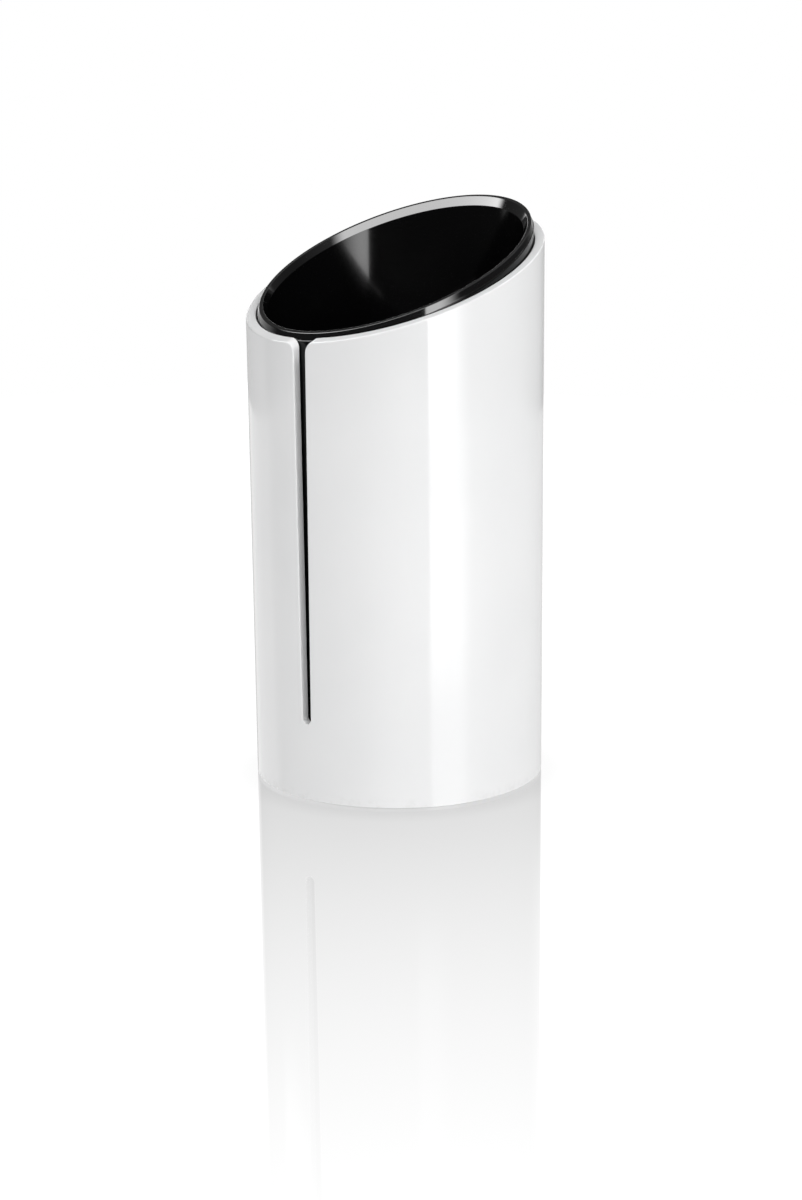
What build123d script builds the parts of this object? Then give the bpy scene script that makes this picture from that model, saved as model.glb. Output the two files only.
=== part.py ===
from build123d import *
import os
from math import cos, radians, sin, tan

# Pen stand: a white sleeve with a slanted rim and a slit, and a black cup that drops into it.
# Millimetres, +Z up. The origin is the centre of the underside, the slit faces -Y, the rim is high at +Y.

# Outer sleeve
sleeve_diameter = 80.0
sleeve_wall = 2.65
sleeve_height = 136.8  # lower edge to the rim, on the axis
sleeve_slope = 22.9  # tilt of the rim in degrees
sleeve_edge = 0.35  # rounding of the sleeve's edges

# Slit down the low side of the sleeve
slit_mouth_width = 3.8  # at the rim
slit_end_width = 2.75  # at the round lower end
slit_end_height = 20.7  # sleeve's lower edge to the slit's lowest point
slit_corner = 2.5  # rounding where the slit opens into the rim

# Screw bosses inside the sleeve's foot, which also carry the cup
boss_diameter = 6.4
boss_inset = 0.8  # boss to the bore of the sleeve
boss_cap = 1.5  # wall above the screw's hole
boss_web = 1.6  # thickness of the web that ties a boss to the sleeve

# Pin on the boss at the high side, which lines the cup's slope up with the sleeve's
pin_diameter = 2.5
pin_height = 1.4
pin_clearance = 0.2

# Base plate that closes the sleeve's foot
base_thickness = 3.0
base_recess = 0.6  # plate's underside above the sleeve's lower edge
base_clearance = 0.15

# Screws that hold the base plate
screw_count = 3
screw_length = 8.0
thread_diameter = 2.5
thread_clearance = 0.05
screw_end_gap = 0.5  # screw's tip to the end of its hole
head_diameter = 4.8
head_height = 1.5
head_clearance = 0.1
drive_slot_width = 0.8
drive_slot_length = 2.8
drive_slot_depth = 0.7

# Non-slip pad under the base plate
foot_proud = 0.4  # stands below the sleeve's lower edge
foot_margin = 3.0  # pad to the screw heads
foot_pocket = 0.6
foot_clearance = 0.2
foot_edge = 0.3

# Cup that drops into the sleeve
cup_clearance = 0.25
cup_wall = 2.7
cup_slope = 26.3  # tilt of the cup's rim in degrees
cup_rise = 1.65  # cup's shoulder above the sleeve's rim, on the axis
cup_draft = 0.6  # the cup is this much slimmer at its foot, on the radius
cup_collar = 6.0  # straight length below the low side of the rim
cup_floor = 3.0
cup_floor_radius = 4.0
cup_foot_radius = 1.5

# Lip along the cup's rim, which stands on the shoulder
lip_inset = 0.2  # lip's foot to the cup's outside
lip_height = 1.7
lip_lean = 0.45  # lip's side leans in by this much towards its top
lip_side = 1.4  # height of the leaning side
lip_land = 1.2  # width of the flat top
lip_flare = 1.7  # height of the slope that leads from the flat top into the cup

# Radii
sleeve_radius = sleeve_diameter / 2
bore_radius = sleeve_radius - sleeve_wall
screw_circle = bore_radius - boss_inset - boss_diameter / 2
foot_radius = screw_circle - head_diameter / 2 - foot_margin
cup_radius = bore_radius - cup_clearance
cup_inner = cup_radius - cup_wall
lip_radius = cup_radius - lip_inset
flare_width = lip_radius - lip_lean - lip_land - cup_inner

# Levels from the surface that the stand rests on
sleeve_z = foot_proud
base_z = sleeve_z + base_recess
base_top_z = base_z + base_thickness
screw_hole_z = base_z + screw_length + screw_end_gap
boss_top_z = screw_hole_z + boss_cap
cup_z = boss_top_z
floor_z = cup_z + cup_floor
rim_z = sleeve_z + sleeve_height
shoulder_z = rim_z + cup_rise
lip_z = shoulder_z + lip_height
rim_low_z = rim_z - sleeve_radius * tan(radians(sleeve_slope))
collar_z = shoulder_z - cup_radius * tan(radians(cup_slope)) - cup_collar
blank_top_z = shoulder_z + 2 * sleeve_radius * tan(radians(max(sleeve_slope, cup_slope)))


def slanted(z, slope):
    return Plane(origin=(0, 0, z), x_dir=(1, 0, 0), z_dir=(0, -sin(radians(slope)), cos(radians(slope))))


def tube(outer, inner, low_z, high_z):
    ring = Circle(outer) - Circle(inner)
    return extrude(Plane.XY.offset(low_z) * ring, high_z - low_z)


def disc(radius, low_z, high_z):
    return extrude(Plane.XY.offset(low_z) * Circle(radius), high_z - low_z)


# The screws stand clear of the slit, with the first one at the high side.
def screw_spots():
    return PolarLocations(screw_circle, screw_count, start_angle=90)


def pin_spot():
    return Pos(0, screw_circle, 0)


def make_sleeve():
    sleeve = tube(sleeve_radius, bore_radius, sleeve_z, blank_top_z)
    rim = slanted(rim_z, sleeve_slope)
    sleeve = split(sleeve, bisect_by=rim, keep=Keep.BOTTOM)
    sleeve -= make_slit()
    mouth = sleeve.edges().filter_by(GeomType.LINE).filter_by(Axis.Z, reverse=True)
    sleeve = fillet(mouth, slit_corner)
    sleeve = fillet(sleeve.faces().filter_by(rim).edges(), sleeve_edge)
    foot_edges = sleeve.edges().filter_by(GeomType.CIRCLE).group_by(Axis.Z)[0]
    sleeve = fillet(foot_edges, sleeve_edge)
    web_length = boss_diameter / 2 + boss_inset + sleeve_wall / 2
    web = Box(web_length, boss_web, boss_top_z - base_top_z, align=(Align.MIN, Align.CENTER, Align.MIN))
    boss = disc(boss_diameter / 2, base_top_z, boss_top_z) + Pos(0, 0, base_top_z) * web
    hole = disc(thread_diameter / 2 + thread_clearance, base_top_z, screw_hole_z)
    for spot in screw_spots():
        sleeve = sleeve + spot * boss - spot * hole
    return sleeve + pin_spot() * disc(pin_diameter / 2, boss_top_z, boss_top_z + pin_height)


def make_slit():
    end_radius = slit_end_width / 2
    end_z = sleeve_z + slit_end_height + end_radius
    half_mouth = slit_mouth_width / 2
    flare = (half_mouth - end_radius) / (rim_low_z - end_z)
    half_top = end_radius + flare * (blank_top_z - end_z)
    outline = Polyline(
        (-end_radius, end_z),
        (-half_top, blank_top_z),
        (half_top, blank_top_z),
        (end_radius, end_z),
    )
    outline += RadiusArc((end_radius, end_z), (-end_radius, end_z), end_radius)
    return extrude(Plane.XZ * make_face(outline), sleeve_diameter)


def make_base():
    plate = disc(bore_radius - base_clearance, base_z, base_top_z)
    plate -= disc(foot_radius + foot_clearance, base_z, base_z + foot_pocket)
    for spot in screw_spots():
        plate -= spot * disc(thread_diameter / 2 + head_clearance, base_z, base_top_z)
        plate -= spot * screw_head(head_clearance)
    return plate


def screw_head(grow):
    cone = Cone(head_diameter / 2 + grow, thread_diameter / 2 + grow, head_height)
    return Pos(0, 0, base_z + head_height / 2) * cone


def make_screws():
    screws = []
    for spot in screw_spots():
        screw = screw_head(0) + disc(thread_diameter / 2, base_z, base_z + screw_length)
        for turn in (0, 90):
            slot = Box(drive_slot_length, drive_slot_width, 2 * drive_slot_depth)
            screw -= Pos(0, 0, base_z) * Rot(0, 0, turn) * slot
        screws.append(spot * screw)
    return Compound(children=screws)


def make_foot():
    pad = disc(foot_radius, 0, base_z + foot_pocket)
    return chamfer(pad.edges().group_by(Axis.Z)[0], foot_edge)


def make_cup():
    half_section = Polyline(
        (0, cup_z),
        (cup_radius - cup_draft, cup_z),
        (cup_radius, collar_z),
        (cup_radius, blank_top_z),
        (cup_inner, blank_top_z),
        (cup_inner, collar_z),
        (cup_inner - cup_draft, floor_z),
        (0, floor_z),
        close=True,
    )
    cup = revolve(Plane.XZ * make_face(half_section), Axis.Z)
    rounds = cup.edges().filter_by(GeomType.CIRCLE)
    cup = fillet(rounds.filter_by_position(Axis.Z, floor_z, floor_z), cup_floor_radius)
    rounds = cup.edges().filter_by(GeomType.CIRCLE)
    cup = fillet(rounds.filter_by_position(Axis.Z, cup_z, cup_z), cup_foot_radius)
    shoulder = slanted(shoulder_z, cup_slope)
    cup = split(cup, bisect_by=shoulder, keep=Keep.BOTTOM)
    cup += make_lip()
    land = cup.faces().filter_by(shoulder).sort_by(Axis.Z)[-1]
    cup = chamfer(land.inner_wires()[0].edges(), flare_width, lip_flare, reference=land)
    land = cup.faces().filter_by(shoulder).sort_by(Axis.Z)[-1]
    cup = chamfer(land.edges().sort_by(SortBy.LENGTH)[-1], lip_lean, lip_side, reference=land)
    return cup - pin_spot() * disc(pin_diameter / 2 + pin_clearance, cup_z, cup_z + pin_height + pin_clearance)


def make_lip():
    lip = tube(lip_radius, cup_inner, collar_z, blank_top_z)
    return split(lip, bisect_by=slanted(lip_z, cup_slope), keep=Keep.BOTTOM)


os.makedirs("parts", exist_ok=True)
pieces = {
    "outer_sleeve": make_sleeve(),
    "inner_cup": make_cup(),
    "base_plate": make_base(),
    "base_screws": make_screws(),
    "foot_pad": make_foot(),
}
for name, piece in pieces.items():
    export_step(piece, f"parts/{name}.step")
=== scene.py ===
import math
import bmesh
import bpy
from mathutils import Matrix, Vector


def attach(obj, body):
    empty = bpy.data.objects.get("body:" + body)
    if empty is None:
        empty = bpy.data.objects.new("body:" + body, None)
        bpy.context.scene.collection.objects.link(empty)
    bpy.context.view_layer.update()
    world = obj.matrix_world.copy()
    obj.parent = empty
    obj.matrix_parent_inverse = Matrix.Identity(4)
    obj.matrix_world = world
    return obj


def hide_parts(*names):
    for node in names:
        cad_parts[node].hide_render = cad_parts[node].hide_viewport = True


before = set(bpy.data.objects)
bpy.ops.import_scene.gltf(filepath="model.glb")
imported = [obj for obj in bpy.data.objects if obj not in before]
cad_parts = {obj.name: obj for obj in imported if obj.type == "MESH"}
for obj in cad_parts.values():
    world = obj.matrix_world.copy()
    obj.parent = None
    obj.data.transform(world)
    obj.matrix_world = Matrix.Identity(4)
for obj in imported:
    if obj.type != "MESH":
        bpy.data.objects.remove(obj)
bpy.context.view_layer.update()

# Desk pen stand: a white sleeve with a slit, which faces -Y, and a black cup inside it.
# The pieces are sized in mm, and the floor, the camera and the lights in metres.
mm = 0.001
print("frame loaded:", sorted(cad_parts))


class Wire:  # an output socket, so that node maths reads as sums
    def __init__(self, tree, socket=None):
        self.tree = tree
        self.socket = socket

    def node(self, kind, settings=None, sockets=None, out=0):
        made = self.tree.nodes.new(kind)
        for name, value in (settings or {}).items():
            setattr(made, name, value)
        for name, value in (sockets or {}).items():
            if isinstance(value, Wire):
                self.tree.links.new(value.socket, made.inputs[name])
            else:
                made.inputs[name].default_value = value
        return Wire(self.tree, made.outputs[out] if made.outputs else None)

    def calc(self, operation, first, second=0.0):
        return self.node("ShaderNodeMath", {"operation": operation}, {0: first, 1: second})

    def __add__(self, other):
        return self.calc("ADD", self, other)

    def __radd__(self, other):
        return self.calc("ADD", other, self)

    def __sub__(self, other):
        return self.calc("SUBTRACT", self, other)

    def __rsub__(self, other):
        return self.calc("SUBTRACT", other, self)

    def __mul__(self, other):
        return self.calc("MULTIPLY", self, other)

    def __rmul__(self, other):
        return self.calc("MULTIPLY", other, self)

    def __truediv__(self, other):
        return self.calc("DIVIDE", self, other)

    def __rtruediv__(self, other):
        return self.calc("DIVIDE", other, self)

    def ease(self, low, high):  # 0 below low, 1 above high, smooth between
        return self.node(
            "ShaderNodeMapRange",
            {"interpolation_type": "SMOOTHSTEP"},
            {"Value": self, "From Min": low, "From Max": high},
        )

    def span(self, begin, end):  # 1 between two soft limits
        return self.ease(*begin) * (1.0 - self.ease(*end))


def newFinish(name):
    made = bpy.data.materials.new(name)
    made.use_nodes = True
    made.node_tree.nodes.clear()
    return made, Wire(made.node_tree)


def closeFinish(start, sockets):
    shader = start.node("ShaderNodeBsdfPrincipled", None, sockets)
    start.node("ShaderNodeOutputMaterial", None, {"Surface": shader})


def mixColour(start, factor, first, second):
    sockets = {"Factor": factor, 6: first, 7: second}
    return start.node("ShaderNodeMix", {"data_type": "RGBA"}, sockets, 2)


def noise(start, place, scale, detail=2.0, roughness=0.5):
    sockets = {"Vector": place, "Scale": scale, "Detail": detail, "Roughness": roughness}
    return start.node("ShaderNodeTexNoise", None, sockets)


def stretched(start, place, scale):
    return start.node("ShaderNodeMapping", None, {"Vector": place, "Scale": scale})


def bump(start, height, strength, distance):
    sockets = {"Height": height, "Strength": strength, "Distance": distance}
    return start.node("ShaderNodeBump", None, sockets)


# Finishes: noises are given as scale, detail and roughness, and bumps as strength and distance
whiteLook = {
    "colour": (0.86, 0.862, 0.865, 1.0),
    "shade": (0.835, 0.838, 0.842, 1.0),
    "scuff": (0.70, 0.70, 0.69, 1.0),
    "roughness": 0.07,
    "flow": (26.0, 2.0),  # slow waves left by the mould
    "flowBlend": (0.35, 0.7),
    "flowRough": 0.03,
    "flowHeight": 0.6,
    "peel": (1500.0, 1.0),
    "peelHeight": 0.012,
    "bump": (0.05, 0.6 * mm),
    "hairs": (1.0, 3.0, 0.7),  # fine scratches round the wall
    "hairStretch": (260.0, 260.0, 5200.0),
    "hairBlend": (0.63, 0.74),
    "hairRough": 0.05,
    "rubbed": (420.0, 3.0),  # wear along the foot
    "rubbedZ": (0.4 * mm, 3.8 * mm),
    "rubbedBlend": (0.46, 0.66),
    "rubbedColour": 0.35,
    "rubbedRough": 0.22,
    "ior": 1.5,
}


def makeGlossWhite():
    look = whiteLook
    made, start = newFinish("glossWhite")
    place = start.node("ShaderNodeTexCoord", out="Object")
    height = start.node("ShaderNodeSeparateXYZ", None, {0: place}, 2)
    flow = noise(start, place, *look["flow"])
    peel = noise(start, place, *look["peel"])
    hairs = noise(start, stretched(start, place, look["hairStretch"]), *look["hairs"])
    hairs = hairs.ease(*look["hairBlend"])
    rubbed = noise(start, place, *look["rubbed"]).ease(*look["rubbedBlend"])
    rubbed = (1.0 - height.ease(*look["rubbedZ"])) * rubbed
    colour = mixColour(start, flow.ease(*look["flowBlend"]), look["colour"], look["shade"])
    colour = mixColour(start, rubbed * look["rubbedColour"], colour, look["scuff"])
    roughness = look["roughness"] + flow * look["flowRough"]
    roughness = roughness + hairs * look["hairRough"] + rubbed * look["rubbedRough"]
    surface = bump(start, flow * look["flowHeight"] + peel * look["peelHeight"], *look["bump"])
    closeFinish(start, {"Base Color": colour, "Roughness": roughness, "Normal": surface, "IOR": look["ior"]})
    return made


blackLook = {
    "colour": (0.0015, 0.0015, 0.0016, 1.0),
    "shade": (0.0026, 0.0026, 0.0028, 1.0),
    "scuff": (0.030, 0.030, 0.031, 1.0),
    "roughness": 0.07,
    "flow": (32.0, 2.0),
    "flowBlend": (0.35, 0.7),
    "flowRough": 0.04,
    "flowHeight": 0.6,
    "peel": (1700.0, 1.0),
    "peelHeight": 0.012,
    "bump": (0.05, 0.6 * mm),
    "ticks": (1.0, 4.0, 0.75),  # small marks up and down the walls
    "tickStretch": (900.0, 900.0, 160.0),
    "tickBlend": (0.62, 0.72),
    "tickRough": 0.03,
    "wornZ": (14.0 * mm, 60.0 * mm),  # most marks are near the cup's floor
    "wornColour": 0.6,
    "wornRough": 0.25,
    "lipBand": ((34.38 * mm, 34.45 * mm), (36.95 * mm, 37.05 * mm)),  # only the lip is polished
    "lipZ": (114.0 * mm, 118.0 * mm),
    "satinRough": 0.06,
    "ior": 1.36,
    "coatIor": 1.6,
    "coatRoughness": 0.06,
}


def makeGlossBlack():
    look = blackLook
    made, start = newFinish("glossBlack")
    place = start.node("ShaderNodeTexCoord", out="Object")
    height = start.node("ShaderNodeSeparateXYZ", None, {0: place}, 2)
    flow = noise(start, place, *look["flow"])
    peel = noise(start, place, *look["peel"])
    ticks = noise(start, stretched(start, place, look["tickStretch"]), *look["ticks"])
    ticks = ticks.ease(*look["tickBlend"])
    worn = (1.0 - height.ease(*look["wornZ"])) * ticks
    colour = mixColour(start, flow.ease(*look["flowBlend"]), look["colour"], look["shade"])
    colour = mixColour(start, worn * look["wornColour"], colour, look["scuff"])
    flat = start.node("ShaderNodeVectorMath", {"operation": "MULTIPLY"}, {0: place, 1: (1.0, 1.0, 0.0)})
    reach = start.node("ShaderNodeVectorMath", {"operation": "LENGTH"}, {0: flat}, 1)
    polished = reach.span(*look["lipBand"]) * height.ease(*look["lipZ"])
    roughness = look["roughness"] + flow * look["flowRough"] + ticks * look["tickRough"]
    roughness = roughness + worn * look["wornRough"] + (1.0 - polished) * look["satinRough"]
    surface = bump(start, flow * look["flowHeight"] + peel * look["peelHeight"], *look["bump"])
    sockets = {"Base Color": colour, "Roughness": roughness, "Normal": surface, "IOR": look["ior"]}
    sockets["Coat Weight"] = polished
    sockets["Coat IOR"] = look["coatIor"]
    sockets["Coat Roughness"] = look["coatRoughness"]
    closeFinish(start, sockets)
    return made


matteLook = {
    "colour": (0.022, 0.022, 0.024, 1.0),
    "shade": (0.036, 0.036, 0.038, 1.0),
    "roughness": 0.46,
    "grain": (2600.0, 3.0, 0.6),
    "grainRough": 0.18,
    "bump": (0.35, 0.2 * mm),
    "patch": (90.0, 3.0),
    "patchBlend": (0.3, 0.7),
    "patchRough": 0.06,
}


def makeMatteBlack():
    look = matteLook
    made, start = newFinish("matteBlack")
    place = start.node("ShaderNodeTexCoord", out="Object")
    grain = noise(start, place, *look["grain"])
    patch = noise(start, place, *look["patch"])
    colour = mixColour(start, patch.ease(*look["patchBlend"]), look["colour"], look["shade"])
    roughness = look["roughness"] + grain * look["grainRough"] + patch * look["patchRough"]
    surface = bump(start, grain, *look["bump"])
    closeFinish(start, {"Base Color": colour, "Roughness": roughness, "Normal": surface})
    return made


steelLook = {
    "colour": (0.62, 0.62, 0.64, 1.0),
    "shade": (0.50, 0.51, 0.54, 1.0),
    "roughness": 0.24,
    "brushed": (1.0, 3.0, 0.65),
    "brushStretch": (5000.0, 700.0, 700.0),
    "brushRough": 0.20,
    "bump": (0.2, 0.08 * mm),
    "spots": (900.0, 3.0),
    "spotBlend": (0.4, 0.75),
}


def makeZincSteel():
    look = steelLook
    made, start = newFinish("zincSteel")
    place = start.node("ShaderNodeTexCoord", out="Object")
    brushed = noise(start, stretched(start, place, look["brushStretch"]), *look["brushed"])
    spots = noise(start, place, *look["spots"])
    colour = mixColour(start, spots.ease(*look["spotBlend"]), look["colour"], look["shade"])
    roughness = look["roughness"] + brushed * look["brushRough"]
    sockets = {"Base Color": colour, "Roughness": roughness, "Metallic": 1.0}
    sockets["Normal"] = bump(start, brushed, *look["bump"])
    closeFinish(start, sockets)
    return made


rubberLook = {
    "colour": (0.034, 0.034, 0.036, 1.0),
    "shade": (0.055, 0.055, 0.057, 1.0),
    "dustColour": (0.17, 0.165, 0.16, 1.0),
    "roughness": 0.72,
    "grain": (3200.0, 4.0, 0.65),
    "grainRough": 0.16,
    "bump": (0.5, 0.25 * mm),
    "patch": (140.0, 4.0),
    "patchBlend": (0.3, 0.7),
    "dust": (520.0, 4.0, 0.7),
    "dustBlend": (0.58, 0.78),
    "dustShare": 0.45,
}


def makePadRubber():
    look = rubberLook
    made, start = newFinish("padRubber")
    place = start.node("ShaderNodeTexCoord", out="Object")
    grain = noise(start, place, *look["grain"])
    patch = noise(start, place, *look["patch"])
    dust = noise(start, place, *look["dust"]).ease(*look["dustBlend"])
    colour = mixColour(start, patch.ease(*look["patchBlend"]), look["colour"], look["shade"])
    colour = mixColour(start, dust * look["dustShare"], colour, look["dustColour"])
    roughness = look["roughness"] + grain * look["grainRough"]
    surface = bump(start, grain, *look["bump"])
    closeFinish(start, {"Base Color": colour, "Roughness": roughness, "Normal": surface})
    return made


finishes = {
    "white_sleeve": makeGlossWhite(),
    "black_cup": makeGlossBlack(),
    "black_base": makeMatteBlack(),
    "screw_steel": makeZincSteel(),
    "pad_rubber": makePadRubber(),
}
print("finishes made:", len(finishes))


def addPiece(name, mesh, body, slot):
    piece = bpy.data.objects.new(name, mesh)
    bpy.context.scene.collection.objects.link(piece)
    mesh.materials.clear()
    mesh.materials.append(finishes[slot])
    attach(piece, body)
    return piece


# White sleeve: a thin round wall whose edge runs along the rim, down the slit's sides and round its end
sleeveSizes = {
    "radius": 40.0,
    "wall": 2.65,
    "lowZ": 0.4,
    "rimZ": 137.2,  # on the axis
    "slope": math.radians(22.9),
    "edge": 0.35,
    "mouthHalf": 1.9,
    "endHalf": 1.375,
    "endZ": 22.475,  # centre of the slit's round end
    "corner": 2.5,
    "rimColumns": 288,
    "cornerColumns": 12,
    "endColumns": 20,
    "footRows": 8,
    "wallRows": 36,
    "edgeSteps": 6,
    "cornerRounds": 4,  # rounds in which a corner's and the rim's heights settle
    "rimRounds": 3,
}


def spread(low, high, count):
    return [low + (high - low) * k / count for k in range(count + 1)]


class SleeveWall:
    def __init__(self, sizes):
        self.sizes = sizes
        self.outer = sizes["radius"]
        self.inner = sizes["radius"] - sizes["wall"]
        self.tan = math.tan(sizes["slope"])
        self.cos = math.cos(sizes["slope"])
        self.rimNormal = Vector((0, -math.sin(sizes["slope"]), self.cos))
        lowRim = sizes["rimZ"] - self.outer * self.tan
        self.flare = (sizes["mouthHalf"] - sizes["endHalf"]) / (lowRim - sizes["endZ"])
        self.points = []
        self.normals = []
        self.faces = []

    def slitHalf(self, z):
        return self.sizes["endHalf"] + self.flare * max(z - self.sizes["endZ"], 0)

    def front(self, x, z, rho):
        return Vector((x, -math.sqrt(rho * rho - x * x), z))

    def cornerPoint(self, side, phi, inset, rho):
        corner = self.sizes["corner"]
        across = corner * (1 - math.cos(phi)) + inset * math.cos(phi)
        drop = corner * (1 - math.sin(phi)) + inset * math.sin(phi)
        z = self.sizes["rimZ"] - rho * self.tan
        for _ in range(self.sizes["cornerRounds"]):
            x = self.slitHalf(z) + across
            z = self.sizes["rimZ"] - math.sqrt(rho * rho - x * x) * self.tan - drop / self.cos
        return self.front(side * x, z, rho)

    def rimAngle(self, share, z, rho):
        start = math.asin((self.slitHalf(z) + self.sizes["corner"]) / rho)
        return start + share * (2 * math.pi - 2 * start)

    # Edge of the sheet at one radius, moved into the sheet by inset
    def edgePoint(self, kind, where, inset, rho):
        if kind == "corner":
            return self.cornerPoint(where[0], where[1], inset, rho)
        if kind == "slit":
            top = self.cornerPoint(where[0], 0.0, inset, rho).z
            z = self.sizes["endZ"] + where[1] * (top - self.sizes["endZ"])
            return self.front(where[0] * (self.slitHalf(z) + inset), z, rho)
        if kind == "end":
            reach = self.sizes["endHalf"] + inset
            z = self.sizes["endZ"] + reach * math.sin(where)
            return self.front(reach * math.cos(where), z, rho)
        z = self.sizes["rimZ"] - rho * self.tan
        for _ in range(self.sizes["rimRounds"]):
            angle = self.rimAngle(where, z, rho)
            z = self.sizes["rimZ"] - rho * math.cos(angle) * self.tan - inset / self.cos
        return Vector((rho * math.sin(angle), -rho * math.cos(angle), z))

    def edgeNormal(self, kind, where):
        if kind == "corner":
            return self.rimNormal * math.sin(where[1]) - Vector((where[0] * math.cos(where[1]), 0, 0))
        if kind == "slit":
            return Vector((-where[0], 0, 0))
        if kind == "end":
            return -Vector((math.cos(where), 0, math.sin(where)))
        return self.rimNormal

    # A column's place at height z below the edge
    def columnPoint(self, kind, where, z, rho):
        if kind == "corner":
            corner = self.sizes["corner"]
            across = corner * (1 - math.cos(where[1])) + self.sizes["edge"] * math.cos(where[1])
            return self.front(where[0] * (self.slitHalf(z) + across), z, rho)
        if kind == "end":
            return self.front((self.sizes["endHalf"] + self.sizes["edge"]) * math.cos(where), z, rho)
        angle = self.rimAngle(where, z, rho)
        return Vector((rho * math.sin(angle), -rho * math.cos(angle), z))

    def add(self, point, normal):
        self.points.append(point * mm)
        self.normals.append(normal.normalized())
        return len(self.points) - 1

    def patch(self, grid, here, following, row):
        low, high = row, row + 1
        self.faces.append((grid[here, low], grid[following, low], grid[following, high], grid[here, high]))

    def build(self):
        sizes = self.sizes
        steps = sizes["cornerColumns"]
        corners = [("corner", (1, 0.5 * math.pi * k / steps)) for k in range(steps + 1)]
        rims = [("rim", k / sizes["rimColumns"]) for k in range(1, sizes["rimColumns"])]
        wall = corners + rims + [("corner", (-1, where[1])) for _, where in reversed(corners)]
        arc = [math.pi * (1 + k / sizes["endColumns"]) for k in range(1, sizes["endColumns"])]
        ends = [("end", angle) for angle in arc]
        self.skins = []
        for rho, sign in ((self.outer, 1), (self.inner, -1)):
            grid = {}
            footZ = sizes["lowZ"] + sizes["edge"]
            for column in wall + ends:
                top = self.edgePoint(*column, sizes["edge"], rho)
                middle = top.z if column[0] == "end" else sizes["endZ"]
                heights = spread(footZ, middle, sizes["footRows"])
                if column[0] != "end":
                    heights += spread(middle, top.z, sizes["wallRows"])[1:]
                for row, z in enumerate(heights):
                    point = self.columnPoint(*column, z, rho)
                    if z == heights[-1]:
                        point = top
                    grid[column, row] = self.add(point, Vector((sign * point.x, sign * point.y, 0)))
            self.skins.append(grid)
            ring = wall + ends
            for index, column in enumerate(ring):
                following = ring[(index + 1) % len(ring)]
                for row in range(sizes["footRows"]):
                    self.patch(grid, column, following, row)
            for column, following in zip(wall, wall[1:]):
                for row in range(sizes["footRows"], sizes["footRows"] + sizes["wallRows"]):
                    self.patch(grid, column, following, row)
        self.closeEdge(wall, ends)
        self.closeFoot(wall + ends)

    # Rounded strip between the outer and the inner skin: (inset, radius, share of the edge's own normal)
    def section(self):
        edge, steps = self.sizes["edge"], self.sizes["edgeSteps"]
        turns = [0.5 * math.pi * k / steps for k in range(1, steps + 1)]
        outer = [(edge * (1 - math.sin(a)), self.outer - edge * (1 - math.cos(a)), a, 1) for a in turns]
        inner = [(edge * (1 - math.sin(a)), self.inner + edge * (1 - math.cos(a)), a, -1) for a in turns]
        return outer + inner[::-1]

    def strip(self, samples, placeOf, normalOf):
        rows = []
        for sample, first, last in samples:
            row = [first]
            for inset, rho, turn, sign in self.section():
                point = placeOf(sample, inset, rho)
                radial = Vector((point.x, point.y, 0)).normalized() * sign
                row.append(self.add(point, radial * math.cos(turn) + normalOf(sample) * math.sin(turn)))
            rows.append(row + [last])
        for here, following in zip(rows, rows[1:] + rows[:1]):
            for k in range(len(here) - 1):
                self.faces.append((here[k], following[k], following[k + 1], here[k + 1]))

    def closeEdge(self, wall, ends):
        outer, inner = self.skins
        low, count = self.sizes["footRows"], self.sizes["wallRows"]
        first, last = wall[0], wall[-1]
        samples = []
        for k in range(count):
            samples.append((("slit", (1, k / count)), outer[first, low + k], inner[first, low + k]))
        for column in wall:
            samples.append((column, outer[column, low + count], inner[column, low + count]))
        for k in range(count - 1, -1, -1):
            samples.append((("slit", (-1, k / count)), outer[last, low + k], inner[last, low + k]))
        for column in ends:
            samples.append((column, outer[column, low], inner[column, low]))
        self.strip(
            samples,
            lambda sample, inset, rho: self.edgePoint(*sample, inset, rho),
            lambda sample: self.edgeNormal(*sample),
        )

    def closeFoot(self, ring):
        outer, inner = self.skins
        lowZ = self.sizes["lowZ"]
        self.strip(
            [(column, outer[column, 0], inner[column, 0]) for column in ring],
            lambda sample, inset, rho: self.columnPoint(*sample, lowZ + inset, rho),
            lambda sample: Vector((0, 0, -1)),
        )


def makeSleeve():
    wall = SleeveWall(sleeveSizes)
    wall.build()
    mesh = bpy.data.meshes.new("whiteSleeve")
    mesh.from_pydata(wall.points, [], wall.faces)
    work = bmesh.new()
    work.from_mesh(mesh)
    bmesh.ops.recalc_face_normals(work, faces=work.faces)
    for face in work.faces:
        face.smooth = True
    work.to_mesh(mesh)
    work.free()
    mesh.normals_split_custom_set_from_vertices(wall.normals)
    piece = addPiece("whiteSleeve", mesh, "sleeve", "white_sleeve")
    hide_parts("outer_sleeve")
    return piece


sleeve = makeSleeve()
print("sleeve faces:", len(sleeve.data.polygons))


# Geometry Nodes helpers
mergeReach = 0.002 * mm
creaseAngle = math.radians(40)


def newTree(name, inputs):
    tree = bpy.data.node_groups.new(name, "GeometryNodeTree")
    tree.interface.new_socket(name="Geometry", in_out="INPUT", socket_type="NodeSocketGeometry")
    for label, kind in inputs:
        tree.interface.new_socket(name=label, in_out="INPUT", socket_type=kind)
    tree.interface.new_socket(name="Geometry", in_out="OUTPUT", socket_type="NodeSocketGeometry")
    entry = tree.nodes.new("NodeGroupInput")
    return tree, {socket.name: Wire(tree, socket) for socket in entry.outputs if socket.name}


def closeTree(tree, shape, material):
    start = Wire(tree)
    shape = start.node("GeometryNodeRealizeInstances", None, {"Geometry": shape})
    shape = start.node("GeometryNodeSetMaterial", None, {"Geometry": shape, "Material": material})
    start.node("NodeGroupOutput", None, {"Geometry": shape})


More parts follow.
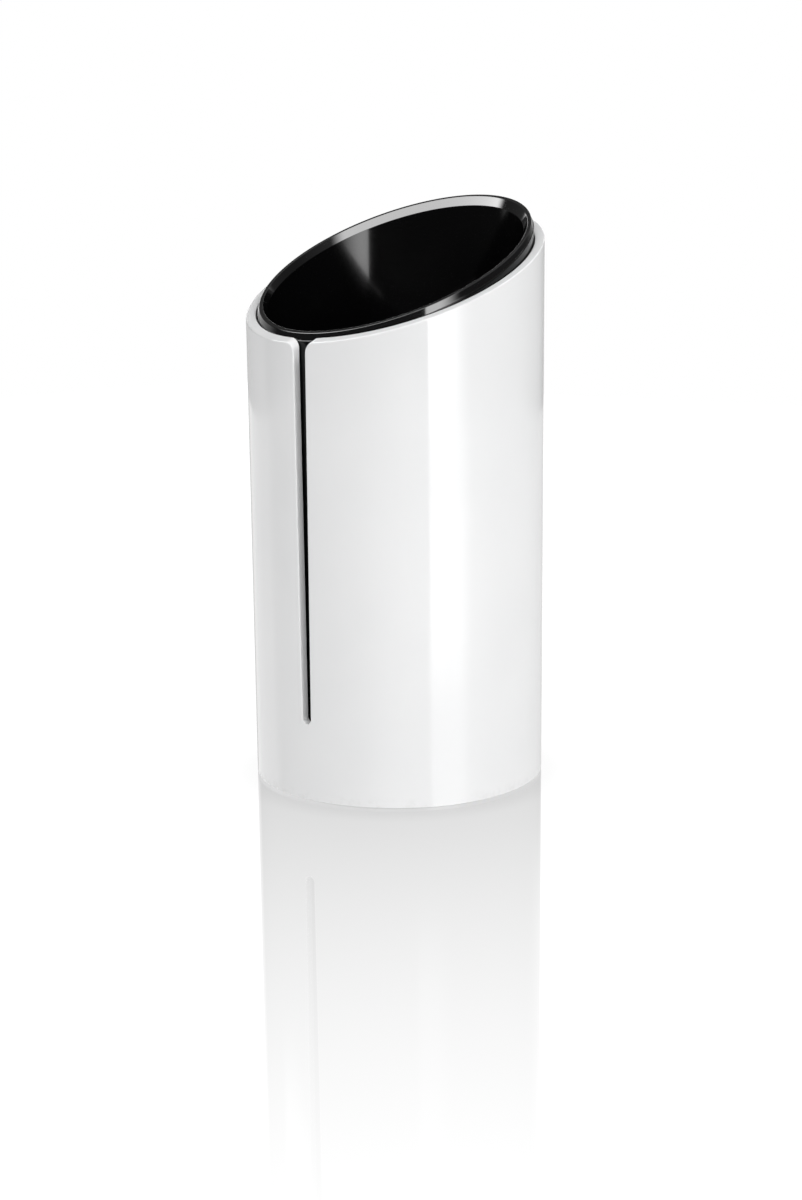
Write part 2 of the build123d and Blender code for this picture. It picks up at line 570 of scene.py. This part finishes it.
# Runs the tree on a host mesh and returns the plain mesh that comes out
def runTree(name, host, tree, values):
    carrier = bpy.data.objects.new(name + "Host", host)
    bpy.context.scene.collection.objects.link(carrier)
    modifier = carrier.modifiers.new(name, "NODES")
    modifier.node_group = tree
    for socket in tree.interface.items_tree:
        if socket.in_out == "INPUT" and socket.name in values:
            modifier[socket.identifier] = values[socket.name]
    depsgraph = bpy.context.evaluated_depsgraph_get()
    mesh = bpy.data.meshes.new_from_object(carrier.evaluated_get(depsgraph))
    mesh.name = name
    carrier.modifiers.remove(modifier)
    bpy.data.objects.remove(carrier)
    work = bmesh.new()
    work.from_mesh(mesh)
    bmesh.ops.recalc_face_normals(work, faces=work.faces)
    work.to_mesh(mesh)
    work.free()
    return mesh


# Rounds each corner (radius, height, rounding) and keeps the shading flat up to it
def roundedLine(corners, steps=5, guard=0.04):
    points = [corners[0][:2]]
    for before, here, after in zip(corners, corners[1:], corners[2:]):
        corner = Vector(here[:2])
        back = (Vector(before[:2]) - corner).normalized()
        ahead = (Vector(after[:2]) - corner).normalized()
        half = back.angle(ahead) / 2
        if not here[2]:
            points.append(corner)
            continue
        run = here[2] / math.tan(half)
        centre = corner + (back + ahead).normalized() * (here[2] / math.sin(half))
        first, last = corner + back * run - centre, corner + ahead * run - centre
        points.append(corner + back * (run + guard))
        for k in range(steps + 1):
            points.append(centre + first.lerp(last, k / steps).normalized() * here[2])
        points.append(corner + ahead * (run + guard))
    return points + [corners[-1][:2]]


# Half section as loose points, each with its radius, its height and the share of the slope that it takes
def sectionMesh(points, shareOf=lambda z: 0.0):
    mesh = bpy.data.meshes.new("halfSection")
    mesh.from_pydata([(k * mm, 0, 0) for k in range(len(points))], [], [])
    rows = [(r * mm, z * mm, shareOf(z)) for r, z in points]
    for column, label in enumerate(("reach", "height", "share")):
        field = mesh.attributes.new(label, "FLOAT", "POINT")
        field.data.foreach_set("value", [row[column] for row in rows])
    return mesh


# Turns the half section about the axis
def turned(start, section, segments, slope=0.0):
    count = start.node("GeometryNodeAttributeDomainSize", {"component": "MESH"}, {"Geometry": section})
    sockets = {"Size X": 1.0, "Size Y": 1.0, "Vertices X": segments + 1, "Vertices Y": count}
    grid = start.node("GeometryNodeMeshGrid", None, sockets)
    place = start.node("GeometryNodeInputPosition")
    across = start.node("ShaderNodeSeparateXYZ", None, {0: place}, 0) + 0.5  # the grid is centred
    along = start.node("ShaderNodeSeparateXYZ", None, {0: place}, 1) + 0.5
    row = start.calc("ROUND", along * (count - 1))

    def field(label):
        value = start.node("GeometryNodeInputNamedAttribute", {"data_type": "FLOAT"}, {"Name": label})
        sockets = {"Geometry": section, "Value": value, "Index": row}
        return start.node("GeometryNodeSampleIndex", {"data_type": "FLOAT", "domain": "POINT"}, sockets)

    turn = across * (2 * math.pi)
    x = field("reach") * start.calc("COSINE", turn)
    y = field("reach") * start.calc("SINE", turn)
    z = field("height") + field("share") * y * start.calc("TANGENT", slope)
    spot = start.node("ShaderNodeCombineXYZ", None, {"X": x, "Y": y, "Z": z})
    shape = start.node("GeometryNodeSetPosition", None, {"Geometry": grid, "Position": spot})
    return start.node("GeometryNodeMergeByDistance", None, {"Geometry": shape, "Distance": mergeReach})


def joined(start, operation, first, second):
    settings = {"operation": operation, "solver": "EXACT"}
    names = ("Mesh 1", "Mesh 2") if operation == "DIFFERENCE" else (1, 1)  # a union takes both in one socket
    made = start.node("GeometryNodeMeshBoolean", settings, {names[1]: second})
    start.tree.links.new(first.socket, made.socket.node.inputs[names[0]])
    return made


def moved(start, shape, place=(0.0, 0.0, 0.0), turn=(0.0, 0.0, 0.0), scale=(1.0, 1.0, 1.0)):
    sockets = {"Geometry": shape, "Translation": place, "Rotation": turn, "Scale": scale}
    return start.node("GeometryNodeTransform", None, sockets)


# Copies on a circle, the first one at the high side, each facing outwards
def ringOf(start, shape, count, circle):
    turn = start.node("GeometryNodeInputIndex") * (2 * math.pi) / count + math.pi / 2
    sockets = {"X": circle * start.calc("COSINE", turn), "Y": circle * start.calc("SINE", turn)}
    spot = start.node("ShaderNodeCombineXYZ", None, sockets)
    points = start.node("GeometryNodePoints", None, {"Count": count, "Position": spot})
    facing = start.node("ShaderNodeCombineXYZ", None, {"Z": turn})
    facing = start.node("FunctionNodeEulerToRotation", None, {"Euler": facing})
    sockets = {"Points": points, "Instance": shape, "Rotation": facing}
    return start.node("GeometryNodeInstanceOnPoints", None, sockets)


def creased(start, shape):
    sockets = {"Geometry": shape, "Shade Smooth": True}
    shape = start.node("GeometryNodeSetShadeSmooth", {"domain": "FACE"}, sockets)
    crease = start.calc("GREATER_THAN", start.node("GeometryNodeInputMeshEdgeAngle"), creaseAngle)
    sockets = {"Geometry": shape, "Selection": crease, "Shade Smooth": False}
    return start.node("GeometryNodeSetShadeSmooth", {"domain": "EDGE"}, sockets)


# Inputs of every tree that sets copies on a circle
ringInputs = [
    ("Count", "NodeSocketInt"),
    ("Circle", "NodeSocketFloat"),
    ("Segments", "NodeSocketInt"),
    ("Material", "NodeSocketMaterial"),
]

# Bosses in the sleeve's foot, each tied to the wall by a web: they take the screws and carry the cup
bossSizes = {
    "count": 3,
    "circle": 33.35,
    "radius": 3.2,
    "lowZ": 4.0,
    "topZ": 11.0,
    "holeRadius": 1.3,
    "holeZ": 9.5,
    "edge": 0.3,
    "web": (3.325, 1.6, 6.9),  # out to the middle of the wall, across, up
    "webStart": 2.0,
    "segments": 48,
}


def makeBossTree():
    inputs = ringInputs + [("Web", "NodeSocketVector"), ("Web Spot", "NodeSocketVector")]
    tree, entry = newTree("bossRing", inputs)
    start = Wire(tree)
    boss = turned(start, entry["Geometry"], entry["Segments"])
    web = moved(start, start.node("GeometryNodeMeshCube", None, {"Size": entry["Web"]}), entry["Web Spot"])
    boss = creased(start, joined(start, "UNION", boss, web))
    closeTree(tree, ringOf(start, boss, entry["Count"], entry["Circle"]), entry["Material"])
    return tree


def makeBosses():
    s = bossSizes
    corners = [
        (0, s["holeZ"], 0),
        (s["holeRadius"], s["holeZ"], 0),
        (s["holeRadius"], s["lowZ"], 0),
        (s["radius"], s["lowZ"], 0),
        (s["radius"], s["topZ"], s["edge"]),
        (0, s["topZ"], 0),
    ]
    values = {"Count": s["count"], "Circle": s["circle"] * mm, "Segments": s["segments"]}
    values["Web"] = [size * mm for size in s["web"]]
    values["Web Spot"] = ((s["webStart"] + s["web"][0] / 2) * mm, 0.0, (s["lowZ"] + s["web"][2] / 2) * mm)
    values["Material"] = finishes["white_sleeve"]
    mesh = runTree("sleeveBosses", sectionMesh(roundedLine(corners)), makeBossTree(), values)
    piece = addPiece("sleeveBosses", mesh, "sleeve", "white_sleeve")
    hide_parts("outer_sleeve")
    return piece


# Pin on the boss at the high side, and the plate's three screws: turned pieces on the same circle
pinSizes = {
    "count": 1,
    "radius": 1.25,
    "lowZ": 10.8,
    "topZ": 12.4,
    "edge": 0.35,
    "segments": 40,
}

screwSizes = {
    "count": 3,
    "headRadius": 2.4,
    "headTop": 2.5,
    "threadRadius": 1.25,
    "lowZ": 1.0,
    "topZ": 9.0,
    "edge": 0.12,
    "tip": 0.4,
    "recess": (2.8, 0.8),  # length and width of each arm of the cross
    "recessDepth": 0.7,
    "recessTaper": 0.62,
    "segments": 48,
}


# cross: turns of the arms that are cut into the head
def makeTurnedTree(name, cross):
    inputs = ringInputs + [("Cross", "NodeSocketVector"), ("Cross Spot", "NodeSocketVector")]
    tree, entry = newTree(name, inputs + [("Taper", "NodeSocketFloat")])
    start = Wire(tree)
    shape = turned(start, entry["Geometry"], entry["Segments"])
    corner = math.sqrt(0.5)  # of a square with sides of 1
    for turn in cross:
        sockets = {"Vertices": 4, "Depth": 1.0, "Radius Bottom": corner}
        sockets["Radius Top"] = entry["Taper"] * corner
        arm = start.node("GeometryNodeMeshCone", None, sockets)
        arm = moved(start, arm, turn=(0.0, 0.0, math.pi / 4))
        arm = moved(start, arm, scale=entry["Cross"])
        arm = moved(start, arm, entry["Cross Spot"], (0.0, 0.0, turn))
        shape = joined(start, "DIFFERENCE", shape, arm)
    shape = creased(start, shape)
    closeTree(tree, ringOf(start, shape, entry["Count"], entry["Circle"]), entry["Material"])
    return tree


def makePin():
    s = pinSizes
    corners = [
        (0, s["lowZ"], 0),
        (s["radius"], s["lowZ"], 0),
        (s["radius"], s["topZ"], s["edge"]),
        (0, s["topZ"], 0),
    ]
    values = {"Count": s["count"], "Circle": bossSizes["circle"] * mm, "Segments": s["segments"]}
    values["Material"] = finishes["white_sleeve"]
    mesh = runTree("sleevePin", sectionMesh(roundedLine(corners)), makeTurnedTree("pinRing", ()), values)
    piece = addPiece("sleevePin", mesh, "sleeve", "white_sleeve")
    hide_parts("outer_sleeve")
    return piece


def makeScrews():
    s = screwSizes
    corners = [
        (0, s["lowZ"], 0),
        (s["headRadius"], s["lowZ"], s["edge"]),
        (s["threadRadius"], s["headTop"], s["edge"]),
        (s["threadRadius"], s["topZ"], s["tip"]),
        (0, s["topZ"], 0),
    ]
    values = {"Count": s["count"], "Circle": bossSizes["circle"] * mm, "Segments": s["segments"]}
    values["Cross"] = (s["recess"][0] * mm, s["recess"][1] * mm, 2 * s["recessDepth"] * mm)
    values["Cross Spot"] = (0.0, 0.0, s["lowZ"] * mm)
    values["Taper"] = s["recessTaper"]
    values["Material"] = finishes["screw_steel"]
    tree = makeTurnedTree("screwRing", (0.0, math.pi / 2))
    mesh = runTree("plateScrews", sectionMesh(roundedLine(corners)), tree, values)
    piece = addPiece("plateScrews", mesh, "sleeve", "screw_steel")
    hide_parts("base_screws")
    return piece


for piece in (makeBosses(), makePin(), makeScrews()):
    print(piece.name, "faces:", len(piece.data.polygons))


# Black cup: a half section turned about the axis, whose upper part leans with the rim
cupSizes = {
    "radius": 37.1,
    "inner": 34.4,
    "draft": 0.6,
    "lowZ": 11.0,
    "floorZ": 14.0,
    "collarZ": 114.51,  # straight above here, on the low side
    "leanZ": 137.6,  # from here up all of it leans with the rim, on the axis
    "slope": math.radians(26.3),
    "footRound": 1.5,
    "floorRound": 4.0,
    "shoulderZ": 138.85,
    "lipRadius": 36.9,  # at the lip's foot
    "sideZ": 139.1,  # from here up the lip's side leans in
    "lipZ": 140.55,
    "topRadius": 36.45,  # outer edge of the lip's flat top
    "landRadius": 35.45,  # inner edge of the lip's flat top
    "flareZ": 138.5,
    "edge": 0.14,
    "fineEdge": 0.06,
    "segments": 320,
    "pinHole": 1.45,
    "pinDepth": 1.6,
    "pinSegments": 32,
}


def cupCorners():
    s = cupSizes
    edge = s["edge"]
    return [
        (0, s["lowZ"], 0),
        (s["radius"] - s["draft"], s["lowZ"], s["footRound"]),
        (s["radius"], s["collarZ"], 0),
        (s["radius"], s["shoulderZ"], s["fineEdge"]),
        (s["lipRadius"], s["shoulderZ"], s["fineEdge"]),
        (s["lipRadius"], s["sideZ"], s["fineEdge"]),
        (s["topRadius"], s["lipZ"], edge),
        (s["landRadius"], s["lipZ"], edge),
        (s["inner"], s["flareZ"], edge),
        (s["inner"], s["collarZ"], 0),
        (s["inner"] - s["draft"], s["floorZ"], s["floorRound"]),
        (0, s["floorZ"], 0),
    ]


# The cup stays level below the collar and leans fully from leanZ up
def cupShare(z):
    share = (z - cupSizes["collarZ"]) / (cupSizes["leanZ"] - cupSizes["collarZ"])
    return min(max(share, 0.0), 1.0)


def makeLeanTree():
    inputs = [
        ("Segments", "NodeSocketInt"),
        ("Slope", "NodeSocketFloat"),
        ("Pin Spot", "NodeSocketVector"),
        ("Pin Hole", "NodeSocketFloat"),
        ("Pin Depth", "NodeSocketFloat"),
        ("Pin Segments", "NodeSocketInt"),
        ("Material", "NodeSocketMaterial"),
    ]
    tree, entry = newTree("turnedAndLeaning", inputs)
    start = Wire(tree)
    shape = turned(start, entry["Geometry"], entry["Segments"], entry["Slope"])
    sockets = {"Radius": entry["Pin Hole"], "Vertices": entry["Pin Segments"]}
    sockets["Depth"] = entry["Pin Depth"] * 2  # half of it is below the foot
    pin = moved(start, start.node("GeometryNodeMeshCylinder", None, sockets), entry["Pin Spot"])
    shape = creased(start, joined(start, "DIFFERENCE", shape, pin))
    closeTree(tree, shape, entry["Material"])
    return tree


def makeCup():
    s = cupSizes
    values = {"Segments": s["segments"], "Slope": s["slope"], "Material": finishes["black_cup"]}
    values["Pin Spot"] = (0.0, bossSizes["circle"] * mm, s["lowZ"] * mm)
    values["Pin Hole"] = s["pinHole"] * mm
    values["Pin Depth"] = s["pinDepth"] * mm
    values["Pin Segments"] = s["pinSegments"]
    section = sectionMesh(roundedLine(cupCorners()), cupShare)
    mesh = runTree("blackCup", section, makeLeanTree(), values)
    piece = addPiece("blackCup", mesh, "cup", "black_cup")
    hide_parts("inner_cup")
    return piece


cup = makeCup()
print("cup faces:", len(cup.data.polygons))


# Finishes of the CAD pieces that stay
for name, slot in (("base_plate", "black_base"), ("foot_pad", "pad_rubber")):
    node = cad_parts[name]
    node.data.materials.clear()
    node.data.materials.append(finishes[slot])


# White floor, in which the mirrored object fades out, with painted shade close to the foot and zones of
# painted shade and light that only the object's gloss shows
floorLook = {
    "half": 1.2,
    "drop": 0.05 * mm,  # keeps the floor apart from the pad's face
    "white": 1.12,
    "near": 0.037,  # the mirrored object fades out between these reaches
    "far": 0.293,
    "under": 0.62,  # white that is left under the mirrored object
    "shade": 0.56,  # painted shade: the white left under the mirrored object, darker close to the foot
    "shadeReach": (0.040, 0.051),
    "shine": 0.14,
    "underFoot": (0.030, 0.038),  # plain within this reach
    "lineStart": 0.9,  # the lines below begin at this share of the sleeve's radius
    "leftDim": 0.5,  # painted shade: zones that only the object's gloss shows, between lines as sideOf takes them
    "leftLines": ((-10.0, -0.25, 0.25), (-55.0, -0.12, 0.12)),
    "rightDim": 0.65,
    "rightLine": (38.0, -0.2, 0.2),
    "farLeft": 1.12,
    "farLeftLines": ((-57.0, -0.1, 0.1), (-80.0, -0.1, 0.1)),
    "pool": 4.0,  # painted pool of light from the key light
    "poolLines": ((26.0, -0.12, 0.2), (12.0, 0.0, 0.02)),
    "poolNear": 0.55,  # share of the glow close to the foot
    "poolReach": (0.1, 0.24),
}


def makeFloor():
    look = floorLook
    made, start = newFinish("paleFloor")
    place = start.node("ShaderNodeTexCoord", out="Object")
    reach = start.node("ShaderNodeVectorMath", {"operation": "LENGTH"}, {0: place}, 1)
    inGloss = start.node("ShaderNodeLightPath", out="Is Glossy Ray") * reach.ease(*look["underFoot"])
    inView = start.node("ShaderNodeLightPath", out="Is Camera Ray")

    def glow(level):
        return start.node("ShaderNodeEmission", None, {"Strength": level})

    def blend(factor, first, second):
        return start.node("ShaderNodeMixShader", None, {0: factor, 1: first, 2: second})

    def between(right, left):
        return (1.0 - sideOf(start, place, *right)) * sideOf(start, place, *left)

    # Painted shade on the floor close to the foot, in place of a cast shadow
    under = blend(reach.ease(*look["shadeReach"]), glow(look["shade"]), glow(look["under"]))
    shine = (look["shine"],) * 3 + (1.0,)
    gloss = start.node("ShaderNodeBsdfGlossy", None, {"Color": shine, "Roughness": 0.0})
    mirror = start.node("ShaderNodeAddShader", None, {0: under, 1: gloss})
    sockets = {"Value": reach, "From Min": look["near"], "From Max": look["far"]}
    fade = 1.0 - start.node("ShaderNodeMapRange", None, sockets)
    surface = blend(fade * inView, glow(look["white"]), mirror)
    # Zones of painted shade on the floor, which only the object's gloss shows
    onLeft = between(*look["leftLines"])
    surface = blend(onLeft * inGloss, surface, glow(look["leftDim"]))
    onRight = sideOf(start, place, *look["rightLine"])
    surface = blend(onRight * inGloss, surface, glow(look["rightDim"]))
    farLeft = onRight * between(*look["farLeftLines"])
    surface = blend(farLeft * inGloss, surface, glow(look["farLeft"]))
    # Painted pool of light from the key light, weaker close to the foot, which only the object's gloss shows
    inPool = look["poolNear"] + (1.0 - look["poolNear"]) * reach.ease(*look["poolReach"])
    inPool = between(*look["poolLines"]) * inPool
    surface = blend(inPool * inGloss, surface, glow(look["pool"]))
    below = start.node("ShaderNodeNewGeometry", out="Backfacing")
    surface = blend(below, surface, start.node("ShaderNodeBsdfTransparent"))
    start.node("ShaderNodeOutputMaterial", None, {"Surface": surface})
    half, low = look["half"], -look["drop"]
    corners = [(-half, -half, low), (half, -half, low), (half, half, low), (-half, half, low)]
    mesh = bpy.data.meshes.new("paleFloor")
    mesh.from_pydata(corners, [], [range(4)])
    mesh.materials.append(made)
    floor = bpy.data.objects.new("paleFloor", mesh)
    bpy.context.scene.collection.objects.link(floor)


# 1 to the right of the floor line that the sleeve mirrors so many degrees right of the view,
# with a soft edge from low to high
def sideOf(start, place, degrees, low, high):
    foot = viewSizes["azimuth"] + math.radians(degrees)
    line = viewSizes["azimuth"] + math.radians(2 * degrees)
    radius = sleeveSizes["radius"] * mm
    across = (math.cos(line), math.sin(line), 0.0)
    offset = radius * (math.sin(foot) * across[0] - math.cos(foot) * across[1])
    along = start.node("ShaderNodeVectorMath", {"operation": "DOT_PRODUCT"}, {0: place, 1: across}, 1)
    reach = start.node("ShaderNodeVectorMath", {"operation": "LENGTH"}, {0: place}, 1)
    return ((along - offset) / (reach - floorLook["lineStart"] * radius)).ease(low, high)


# Camera at the photo's viewing angle, with its angles in radians
viewSizes = {
    "azimuth": math.radians(37.538),
    "reach": 0.463694,
    "height": 0.139014,
    "pitch": 0.194103,
    "yaw": 0.00185,
    "roll": 0.009582,
    "lens": 51.0,
    "sensor": 36.0,
    "clip": (0.01, 50.0),
}


def makeCamera():
    v = viewSizes
    turn = Matrix.Rotation(v["azimuth"], 3, "Z")
    level = Vector((math.sin(v["yaw"]), math.cos(v["yaw"]), 0))
    ahead = turn @ (level * math.cos(v["pitch"]) - Vector((0, 0, math.sin(v["pitch"]))))
    right = turn @ Vector((level.y, -level.x, 0))
    down = ahead.cross(right)
    across = right * math.cos(v["roll"]) + down * math.sin(v["roll"])
    under = down * math.cos(v["roll"]) - right * math.sin(v["roll"])
    data = bpy.data.cameras.new("photoCamera")
    data.sensor_width = v["sensor"]
    data.lens = v["lens"]
    data.clip_start, data.clip_end = v["clip"]
    camera = bpy.data.objects.new("photoCamera", data)
    bpy.context.scene.collection.objects.link(camera)
    axes = Matrix((across, -under, -ahead)).transposed().to_4x4()
    stand = turn @ Vector((0, -v["reach"], v["height"]))
    camera.matrix_world = Matrix.Translation(stand) @ axes
    bpy.context.scene.camera = camera


makeFloor()
makeCamera()

# Lights are placed round the object by azimuth from the camera, to its right, and by height
lightPlan = {
    "keyStrip": {"azimuth": 42.0, "rise": 0.0, "span": (36.0, 12.0), "level": 5.4, "soft": (0.02, 0.83)},
    "rightTop": {"azimuth": 58.0, "rise": 46.0, "span": (50.0, 20.0), "level": 4.0, "soft": (0.1, 0.1)},
    "topBar": {"azimuth": -3.0, "rise": 48.0, "span": (90.0, 12.0), "level": 4.3, "soft": (0.1, 0.1)},
}
glossAlone = ("keyStrip",)  # the others only lighten the object: the gloss shows the room there
lightReach = 1.2
lightCentre = Vector((0, 0, 0.13))
whitePower = 4.0  # power of a square metre that looks white


# A panel that spans so many degrees across and up as the object sees it, softer towards its sides
def addLight(name, plan):
    data = bpy.data.lights.new(name, "AREA")
    data.shape = "RECTANGLE"
    data.size, data.size_y = [2 * lightReach * math.tan(math.radians(span / 2)) for span in plan["span"]]
    data.energy = plan["level"] * whitePower * data.size * data.size_y
    data.use_nodes = True
    data.node_tree.nodes.clear()
    start = Wire(data.node_tree)
    spot = start.node("ShaderNodeNewGeometry", out="Parametric")
    across = start.node("ShaderNodeSeparateXYZ", None, {0: spot}, 0)
    left, right = plan["soft"]
    glow = across.ease(0.0, left) * (1.0 - across.ease(1.0 - right, 1.0))
    shader = start.node("ShaderNodeEmission", None, {"Strength": glow})
    start.node("ShaderNodeOutputLight", None, {"Surface": shader})
    light = bpy.data.objects.new(name, data)
    bpy.context.scene.collection.objects.link(light)
    angle, rise = viewSizes["azimuth"] + math.radians(plan["azimuth"]), math.radians(plan["rise"])
    aside = Vector((math.sin(angle) * math.cos(rise), -math.cos(angle) * math.cos(rise), math.sin(rise)))
    facing = aside.to_track_quat("Z", "Y").to_matrix().to_4x4()
    light.matrix_world = Matrix.Translation(lightCentre + aside * lightReach) @ facing
    light.visible_camera = False
    light.visible_diffuse = name not in glossAlone
    light.visible_glossy = name in glossAlone


for name, plan in lightPlan.items():
    addLight(name, plan)

# Directions are read as degrees to the right of the camera and as the sine of the height
roomLook = {
    "low": 0.04,
    "high": 0.08,
    "highRise": (0.1, 0.5),
    "zenith": 0.55,
    "zenithRise": (0.65, 0.92),
    "side": 0.5,  # near the horizon, on both sides and behind
    "sideLeft": (-105.0, -75.0),
    "sideLeftGloss": (-125.0, -112.0),  # the gloss shows less of it
    "sideRight": (122.0, 145.0),
    "sideRise": (0.1, 0.3),
    "back": 1.7,  # pale wall behind
    "backAway": (0.5, 0.85),
    "backGap": ((-160.0, -150.0), (-100.0, -90.0)),
    "backRise": ((0.08, 0.2), (0.45, 0.53)),
    "right": ((80.0, 100.0), (152.0, 176.0)),  # darker in the gloss
    "rightSide": 0.6,
    "rightBackRise": (0.3, 0.38),
    "band": 6.6,  # row of lamps from the left round to the front, seen in the gloss alone
    "bandTurn": ((-119.0, -110.0), (28.0, 45.0)),
    "bandLow": 0.42,  # its lower edge, which dips towards the left
    "bandDip": 0.165,
    "bandDipTurn": (-105.0, -45.0),
    "bandSoft": 0.05,
    "bandTop": (0.80, 0.87),
    "keyTop": 6.0,  # upper part of the key light, seen in the gloss alone
    "keyTurn": ((13.0, 14.5), (24.0, 44.0)),
    "keyRise": ((0.36, 0.40), (0.56, 0.60)),
    "onFloor": 2.95,  # seen in the floor's sharp mirror alone
}


def makeRoom():
    look = roomLook
    room = bpy.data.worlds.new("studio")
    room.use_nodes = True
    room.node_tree.nodes.clear()
    start = Wire(room.node_tree)
    ray = start.node("ShaderNodeTexCoord", out="Generated")
    view = viewSizes["azimuth"]

    def along(axis):
        return start.node("ShaderNodeVectorMath", {"operation": "DOT_PRODUCT"}, {0: ray, 1: axis}, 1)

    front = along((math.sin(view), -math.cos(view), 0.0))
    turn = start.calc("ARCTAN2", along((math.cos(view), math.sin(view), 0.0)), front) * math.degrees(1)
    rise = start.node("ShaderNodeSeparateXYZ", None, {0: ray}, 2)
    inGloss = start.node("ShaderNodeLightPath", out="Is Glossy Ray")
    level = look["low"] + (look["high"] - look["low"]) * rise.ease(*look["highRise"])
    level = level + look["zenith"] * rise.ease(*look["zenithRise"])
    onLeft = (1.0 - turn.ease(*look["sideLeft"])) * (1.0 - inGloss * turn.ease(*look["sideLeftGloss"]))
    sides = (onLeft + turn.ease(*look["sideRight"])) * (1.0 - rise.ease(*look["sideRise"]))
    onRight = inGloss * turn.span(*look["right"])
    level = level + look["side"] * sides * (1.0 - look["rightSide"] * onRight)
    behind = (0.0 - front).ease(*look["backAway"]) * (1.0 - turn.span(*look["backGap"]))
    behind = behind * rise.span(*look["backRise"])
    level = level + look["back"] * behind * (1.0 - onRight * (1.0 - rise.ease(*look["rightBackRise"])))
    lowEdge = look["bandLow"] + look["bandDip"] * turn.ease(*look["bandDipTurn"])
    band = turn.span(*look["bandTurn"]) * (rise - lowEdge).ease(0.0, look["bandSoft"])
    band = band * (1.0 - rise.ease(*look["bandTop"]))
    keyTop = turn.span(*look["keyTurn"]) * rise.span(*look["keyRise"])
    level = level + inGloss * (look["band"] * band + look["keyTop"] * keyTop)
    onFloor = start.node("ShaderNodeLightPath", out="Is Singular Ray")
    level = level * (1.0 - onFloor) + look["onFloor"] * onFloor
    white = (1.0, 1.0, 1.0, 1.0)
    glow = start.node("ShaderNodeBackground", None, {"Color": white, "Strength": level})
    plain = start.node("ShaderNodeBackground", None, {"Color": white, "Strength": 1.0})
    seen = start.node("ShaderNodeLightPath", out="Is Camera Ray")
    both = start.node("ShaderNodeMixShader", None, {0: seen, 1: glow, 2: plain})
    start.node("ShaderNodeOutputWorld", None, {"Surface": both})
    bpy.context.scene.world = room


makeRoom()
bpy.context.scene.view_settings.view_transform = "Standard"
print("stage set:", len(lightPlan), "lights")
